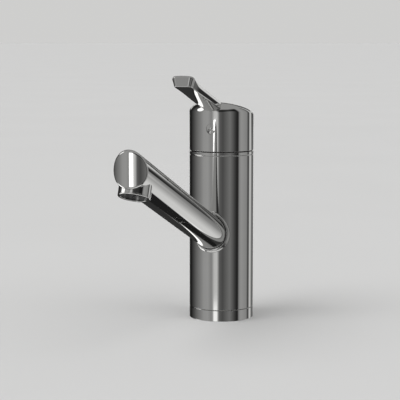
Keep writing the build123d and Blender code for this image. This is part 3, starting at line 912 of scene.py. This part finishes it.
spray_radius, spray_bore, tail_lip, tail_round = 13.475, 11.975, 14.6, 0.4
nose_middle, nose_radius, nose_hollow, nose_round = 177.5, 22.0, 20.3, 2.0
outlet_station, collar_radius, collar_bore, collar_depth = 197.08, 12.0, 10.9, 15.5
tube_turns = [radians(-90 + 3.75 * (k - 48)) for k in range(97)]
stations = [15.0, 22, 40, 70, 100, 130, 150, 166, 178]
plain_rows, nose_rows = len(stations) - 1, 10
tube_rows = list(range(plain_rows + nose_rows + 1))
collar_window = (28, 68, plain_rows, plain_rows + nose_rows)


def nose_station(radius, turn, reach):
    """How far out the wall goes. Outside, the nose's edge is rounded from there."""
    edge = nose_round if radius == spray_radius else 0
    return station_at(radius - edge, turn, reach - edge, nose_middle)


def tube_wall(radius, reach, facing):
    """The spray's wall by (turn, row): the nose's rows close up on its round face."""
    def spot(u, v):
        if v <= plain_rows:
            low = min(int(v), plain_rows - 1)
            at = stations[low] + (stations[low + 1] - stations[low]) * (v - low)
        else:
            end = nose_station(radius, u, reach)
            at = stations[-1] + (end - stations[-1]) * (v - plain_rows) / nose_rows
        return on_spout(radius, u, at), around(u) * facing
    return spot


def collar_turn(u, v, wall):
    """The turn round the collar's axis of a point of the wall, as if laid flat."""
    point = spout.inverted() @ wall(u, v)[0]
    return atan2(point.z - outlet_station, 13.0 * (u + pi / 2))


def collar_rim(radius, bore, reach, wall):
    def rim(u, v):
        turn = collar_turn(u, v, wall)
        x, at = bore * cos(turn), outlet_station + bore * sin(turn)
        side = atan2(-sqrt(radius ** 2 - x * x), x)
        end = nose_station(radius, side, reach)
        return side, plain_rows + nose_rows * (at - stations[-1]) / (end - stations[-1])
    return rim


skin = Skin()
turn_lists = []
for radius, reach, facing, hole in (
    (spray_radius, nose_radius, 1, collar_radius), (spray_bore, nose_hollow, -1, collar_bore),
):
    wall = tube_wall(radius, reach, facing)
    rim = collar_rim(radius, hole, reach, wall)
    pierced(skin, wall, tube_turns, tube_rows, [(*collar_window, rim)])
    window = window_edge(tube_turns, tube_rows, *collar_window)
    turn_lists.append([collar_turn(u, v, wall) for u, v in window])
outer_turns, inner_turns = turn_lists


def collar_spot(radius, turn, deep):
    """A place by its distance and turn from the collar's axis and its depth below."""
    along = outlet_station + radius * sin(turn)
    return spout @ Vector((radius * cos(turn), -deep, along))


def collar_way(turn, tilt):
    """Out from the collar's axis, turned towards the outlet by tilt."""
    side = cos(tilt)
    local = Vector((cos(turn) * side, -sin(tilt), sin(turn) * side))
    return spout.to_3x3() @ local


def collar_root(radius, turn, wall):
    """Where the collar's wall meets the tube's."""
    return collar_spot(radius, turn, sqrt(wall ** 2 - (radius * cos(turn)) ** 2))


rows = [[(collar_root(collar_radius, t, spray_radius), collar_way(t, 0)) for t in outer_turns]]
broken = 0.15
for tilt in (0, 45, 90):
    row = []
    for t in outer_turns:
        normal = collar_way(t, radians(tilt))
        seat = collar_spot(collar_radius - broken, t, collar_depth - broken)
        row.append((seat + normal * broken, normal))
    rows.append(row)
rows += [
    [(collar_spot(collar_bore, t, collar_depth), collar_way(t, pi / 2)) for t in inner_turns],
    [(collar_spot(collar_bore, t, collar_depth), -collar_way(t, 0)) for t in inner_turns],
    [(collar_root(collar_bore, t, spray_bore), -collar_way(t, 0)) for t in inner_turns],
]
skin.grid(rows)

# the nose's round face, outside and inside
for radius, reach, facing in ((spray_radius, nose_radius, 1), (spray_bore, nose_hollow, -1)):
    if facing > 0:
        rows = edge_rows(tube_turns[:-1], 4, radius, reach, nose_round, 1, 0, nose_middle)
        ends = [corner[0] for corner in rows[-1]]
    else:
        rows, ends = [], [wall(u, tube_rows[-1])[0] for u in tube_turns[:-1]]
    middle = sum((point.z for point in ends)) / len(ends)
    for share in (1, 0.85, 0.7, 0.55, 0.4, 0.2, 0):
        row = []
        for point in ends:
            x, z = point.x * share, middle + (point.z - middle) * share
            out = Vector((x, -sqrt(reach ** 2 - x * x), 0)) / reach
            row.append((Vector((0, -nose_middle, z)) + out * reach, out * facing))
        rows.append(row)
    skin.grid(rows)

# the tube's rounded tail
rows = []
for step in range(4):
    tilt = radians(30 * step)
    row = []
    for u in tube_turns[:-1]:
        normal = around(u) * cos(tilt) + rearward * sin(tilt)
        seat = on_spout(spray_radius - tail_round, u, stations[0])
        row.append((seat + normal * tail_round, normal))
    rows.append(row)
rows += [
    [(on_spout(spray_bore, u, tail_lip), rearward) for u in tube_turns[:-1]],
    [(on_spout(spray_bore, u, tail_lip), -around(u)) for u in tube_turns[:-1]],
    [(on_spout(spray_bore, u, stations[0]), -around(u)) for u in tube_turns[:-1]],
]
skin.grid(rows)
spray_tube = skin.make("spray_tube_plated", bright_chrome)
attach(spray_tube, "spray")
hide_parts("spray_tube")


# -------------------------------------------- aerator, liner and check valve
# A chrome ring screwed in the collar holds the insert, a plastic disc drilled with
# seven jets. The liner brings the water to it, past a check valve at the hose nut.

outlet = spout @ Matrix.Translation((0, 0, outlet_station))
outlet @= Matrix.Rotation(radians(90), 4, "X")
insert_top, insert_face, insert_bore, thread_radius, outlet_drop = 7.5, 14.4, 9.9, 10.85, 16.6
skin = lathe(
    (insert_bore, insert_top, 0), (thread_radius, insert_top, 0), (thread_radius, collar_depth, 0),
    (collar_radius, collar_depth, 0.12), (collar_radius, outlet_drop, 0.6),
    (insert_bore, outlet_drop, 0.35), place=outlet, count=96,
)
aerator_ring = skin.make("aerator_housing_plated", bright_chrome)
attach(aerator_ring, "spray")
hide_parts("aerator_housing")

grey_acetal = moulded("grey_acetal", (0.030, 0.031, 0.033), (0.055, 0.056, 0.058), 0.40)


class Grower(Wire):
    """A Geometry Nodes tree with named lengths in metres."""

    def __init__(self, name, **lengths):
        super().__init__(bpy.data.node_groups.new(name, "GeometryNodeTree"))
        add, self.lengths = self.tree.interface.new_socket, lengths
        for title in lengths:
            add(title, in_out="INPUT", socket_type="NodeSocketFloat")
        add("Geometry", in_out="OUTPUT", socket_type="NodeSocketGeometry")
        given = self.tree.nodes.new("NodeGroupInput").outputs
        self.given = {title: Wire(self.tree, given[title]) for title in lengths}

    def grow(self, name, geometry, material):
        """Ends the tree, runs it once and gives back the piece as a plain mesh."""
        geometry = self.node("GeometryNodeRealizeInstances", {"Geometry": geometry})
        sockets = {"Geometry": geometry, "Material": material}
        geometry = self.node("GeometryNodeSetMaterial", sockets)
        self.node("NodeGroupOutput", {0: geometry}, None)
        piece = bpy.data.objects.new(name, bpy.data.meshes.new(name + "_seed"))
        bpy.context.scene.collection.objects.link(piece)
        change = piece.modifiers.new("grow", "NODES")
        change.node_group = self.tree
        for socket in self.tree.interface.items_tree:
            if socket.in_out == "INPUT":
                change[socket.identifier] = self.lengths[socket.name]
        evaluated(piece, change)
        return piece


jets = Grower(
    "jets", disc=0.00985, depth=(insert_face - insert_top) * 0.001, jet=0.0011, pitch=0.0054,
)
disc = jets.node("GeometryNodeMeshCylinder", {
    "Vertices": 72, "Radius": jets.given["disc"], "Depth": jets.given["depth"]})
drill = jets.node("GeometryNodeMeshCylinder", {
    "Vertices": 24, "Radius": jets.given["jet"], "Depth": 0.02})
ring = jets.node("GeometryNodeMeshCircle", {"Vertices": 6, "Radius": jets.given["pitch"]})
middle = jets.node("GeometryNodeMeshLine", {"Count": 1})
spots = jets.node("GeometryNodeJoinGeometry", {"Geometry": [ring, middle]})
drills = jets.node("GeometryNodeInstanceOnPoints", {"Points": spots, "Instance": drill})
drills = jets.node("GeometryNodeRealizeInstances", {"Geometry": drills})
drilled = jets.node(
    "GeometryNodeMeshBoolean", {"Mesh 1": disc, "Mesh 2": drills}, operation="DIFFERENCE")
insert = jets.grow("aerator_insert_drilled", drilled, grey_acetal)
insert.data.polygons.foreach_set("use_smooth", [False] * len(insert.data.polygons))
seat = outlet @ Matrix.Translation((0, 0, (insert_top + insert_face) / 2))
seat.translation *= 0.001
insert.data.transform(seat)
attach(insert, "spray")
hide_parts("aerator_insert")

natural_nylon = moulded("natural_nylon", (0.66, 0.65, 0.58), (0.74, 0.73, 0.67), 0.36)
dress(natural_nylon, "water_liner", "check_valve")


# ----------------------------------------------------------------- spray hose
# Nylon-braided hose from the nut, bent down through the body and the pillar.
# It is built as it lies, and does not draw out with the spray.

hose_radius, hose_bend, bore_share = 5.0, 50.0, 0.7
nut_station, hose_foot = 46.0, 0.5
swept = pi / 2 - lean
bend_station = 2.0 / cos(lean) + hose_bend * tan(swept / 2)
skin = Skin()
centre_line = []  # (place, direction): the straight from the nut, the bend, the drop
for k in range(9):
    station = nut_station - (nut_station - bend_station) * k / 8
    centre_line.append((on_spout(0, 0, station), rearward))
pin = on_spout(0, 0, bend_station) + spout.to_3x3() @ Vector((0, -hose_bend, 0))
for k in range(1, 49):
    way, side = rearward.copy(), spout.to_3x3() @ Vector((0, 1, 0))
    for arm in (way, side):
        arm.rotate(Matrix.Rotation(-swept * k / 48, 3, "X"))
    centre_line.append((pin + side * hose_bend, way))
last = centre_line[-1][0]
for k in range(1, 9):
    centre_line.append((last + Vector((0, 0, (hose_foot - last.z) * k / 8)), Vector((0, 0, -1))))
rows, run = [], 0.0
for k, (at, way) in enumerate(centre_line):
    run += (at - centre_line[k - 1][0]).length if k else 0
    up = Vector((1, 0, 0)).cross(way)
    row = []
    for m in range(33):
        turn = 2 * pi * m / 32
        normal = Vector((1, 0, 0)) * cos(turn) + up * sin(turn)
        row.append((at + normal * hose_radius, normal, (m / 32, run / (2 * pi * hose_radius))))
    rows.append(row)
skin.grid(rows, loop=False)
bores = [
    [(at.lerp(point, bore_share), -normal, uv) for point, normal, uv in row]
    for row, (at, _) in zip(rows, centre_line)
]
for end, facing in ((0, -1), (-1, 1)):
    flat = centre_line[end][1] * facing
    ring = [[(corner[0], flat, corner[2]) for corner in row] for row in (rows[end], bores[end])]
    skin.grid(ring, loop=False)
skin.grid(bores, loop=False)

nylon_braid, wire = finish("nylon_braid")
along = wire.node("ShaderNodeUVMap", uv_map="along")
round_way, length_way, _ = along.parts()
strands = 2 * pi * 24
left = wire.sum("SINE", (round_way + length_way) * strands)
right = wire.sum("SINE", (round_way - length_way) * strands)
weave = wire.sum("MAXIMUM", left, right) * 0.5 + 0.5
coat(
    wire,
    Base_Color=weave.blend((0.10, 0.10, 0.105), (0.34, 0.345, 0.35)),
    Roughness=0.75 - 0.25 * weave,
    Normal=relief(wire, weave, 0.0002),
)
hose = skin.make("spray_hose_braided", nylon_braid)
on_spout(0, 0, 12.0) * 0.001
on_spout(0, 0, 46.0) * 0.001
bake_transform(hose)
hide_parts("spray_hose")


# ------------------------------------------------------------------- the stage
# A wide pale floor, two broad soft suns, a small white card and a pale room. The
# plated parts mirror it as soft bands, light and dark, as among screens and windows.

FLOOR_SHADE = 0.62
bpy.ops.mesh.primitive_plane_add(size=120.0)
floor = bpy.context.object
floor.name = "floor"
pale_floor, wire = finish("pale_floor")
coat(
    wire,
    Base_Color=grain(wire, 3, 2).blend([FLOOR_SHADE - 0.015] * 3, [FLOOR_SHADE + 0.015] * 3),
    Roughness=0.9,
)
floor.data.materials.append(pale_floor)
floor.visible_glossy = False

for name, place, strength, spread in (
    ("sun_left", (-1.0, -1.2, 1.9), 1.40, 40),
    ("sun_right", (1.4, -0.5, 1.5), 0.76, 50),
):
    lamp = bpy.data.lights.new(name, "SUN")
    lamp.energy, lamp.angle = strength, radians(spread)
    holder = bpy.data.objects.new(name, lamp)
    holder.rotation_euler = (-Vector(place)).to_track_quat("-Z", "Y").to_euler()
    holder.visible_glossy = False
    bpy.context.scene.collection.objects.link(holder)

# a small card before the nose, which mirrors it
card = bpy.data.lights.new("card", "AREA")
card.shape, card.size, card.size_y, card.energy = "RECTANGLE", 0.045, 0.035, 0.0082
holder = bpy.data.objects.new("card", card)
holder.location = (-0.026, -0.347, 0.1325)
holder.rotation_euler = Vector((-0.026, -0.147, 0.0)).to_track_quat("Z", "Y").to_euler()
holder.visible_camera = holder.visible_diffuse = False
bpy.context.scene.collection.objects.link(holder)

world = bpy.data.worlds.new("pale_room")
bpy.context.scene.world = world
world.use_nodes = True
world.node_tree.nodes.clear()
wire = Wire(world.node_tree)
look = wire.node("ShaderNodeTexCoord", output="Generated")
east, north, up = look.parts()
set_front = 20.4  # degrees to the right of the spout's side
bearing = wire.sum("ARCTAN2", east, 0 - north) / (2 * pi)
bearing = wire.sum("FRACT", bearing - set_front / 360 + 0.5)


def bands(*stops):
    """Soft bands round the room by (bearing from the front of the set in degrees, level)."""
    stops = [((turn + 180) / 360, level) for turn, level in stops]
    return wire.node("ShaderNodeValToRGB", {"Fac": bearing}, stops=stops)


def zone(a, b, c, d, inside=1.0, outside=0.0):
    """A band with the inside level from b to c and soft edges from a and to d."""
    return bands(
        (-180, outside), (a, outside), (b, inside), (c, inside), (d, outside), (180, outside))


def rise(first, last, value=up):
    """Soft step from 0 to 1 as a value goes from the first to the last."""
    sockets = {"Value": value, "From Min": first, "From Max": last}
    return wire.node("ShaderNodeMapRange", sockets, interpolation_type="SMOOTHSTEP")


def mixed(level, other, share):
    return level * (1 - share) + other * share


# the walls all round, and eaves that dim them higher up in front
level = bands(
    (-180, 0.50), (-174, 0.50), (-166, 0.02), (-140, 0.013), (-117, 0.079), (-81, 0.25),
    (-68, 0.34), (-51, 0.36), (-37, 0.26), (-32, 0.38), (-27, 0.57), (-17, 0.62),
    (-12, 0.33), (-8, 0.12), (4, 0.079), (30, 0.19), (48, 0.06), (57, 0.018),
    (62, 0.03), (67, 0.27), (76, 0.35), (103, 0.28), (111, 0.066), (117, 0.09),
    (122, 0.57), (131, 0.66), (136, 0.30), (141, 0.22), (150, 0.13), (162, 0.10),
    (171, 0.35), (180, 0.50),
)
eaves = zone(-20, -8, 50, 62, 0.8)
level = level * (1 - eaves * rise(0.20, 0.32) * rise(0.64, 0.50))

# the dark side behind, with a light strip across it, and the ceiling
behind = zone(-160, -150, 135, 138.5, 0, 1)
dim = bands((-180, 0.05), (-160, 0.03), (143, 0.025), (150, 0.12), (180, 0.12))
level = mixed(level, dim, behind * rise(-0.085, -0.05))
level = mixed(level, 0.70, behind * rise(0.025, 0.09) * rise(0.20, 0.16))
level = mixed(level, 0.33, rise(0.58, 0.72))

# below eye level: the counter to the right, a bright sill and the worktop
counter = wire.node("ShaderNodeMapRange", {
    "Value": up, "From Min": -0.14, "From Max": -0.52, "To Min": 0.20, "To Max": 0.72})
level = mixed(level, counter, zone(112, 120, 163, 172) * rise(-0.20, -0.30))
level = mixed(level, 1.1, zone(-31, -27, -17, -13) * rise(-0.188, -0.2))
worktop = bands(
    (-180, 0.02), (-125, 0.03), (-118, 1.9), (-90, 1.9), (-82, 0.33), (-60, 0.33),
    (0, 0.25), (40, 0.05), (180, 0.05),
)
level = mixed(level, worktop, zone(-158, -150, 60, 70) * rise(-0.26, -0.33))
level = mixed(level, 0.035, zone(-160, -145, 163, 172, 0, 1) * rise(-0.12, -0.17))

# straight down: a dark ring round a light spot, and a gleam at its right
level = mixed(level, 0.015, rise(-0.68, -0.70))
level = mixed(level, 0.80, rise(-0.76, -0.83))
gleam = zone(142, 147, 171, 177) * rise(-0.54, -0.58) * rise(-0.692, -0.68)
level = mixed(level, 1.35, gleam)

# a lamp high at the left, and the plain levels that the camera and matt pieces see
lamp_way = (-0.875, -0.274, 0.399)
toward = wire.node(
    "ShaderNodeVectorMath", {0: look, 1: lamp_way}, "Value", operation="DOT_PRODUCT")
level = mixed(level, 1.5, rise(0.962, 0.978, toward))
seen = wire.node("ShaderNodeLightPath", output="Is Camera Ray")
diffuse = wire.node("ShaderNodeLightPath", output="Is Diffuse Ray")
level = mixed(mixed(level, 0.55, diffuse), FLOOR_SHADE, seen)
shader = wire.node(
    "ShaderNodeBackground", {"Color": (1.0, 0.998, 0.985, 1), "Strength": level}, name="room")
wire.node("ShaderNodeOutputWorld", {"Surface": shader}, None)

lens = bpy.data.cameras.new("camera")
lens.sensor_width, lens.lens = 36.0, 122.4
lens.clip_start, lens.clip_end = 0.01, 50.0
camera = bpy.data.objects.new("camera", lens)
camera.location = (0.3832, -1.0843, 0.23807)
camera.rotation_euler = (radians(90 - 6.848), 0, 0.35552)
bpy.context.scene.collection.objects.link(camera)
bpy.context.scene.camera = camera
bpy.context.scene.view_settings.view_transform = "Standard"
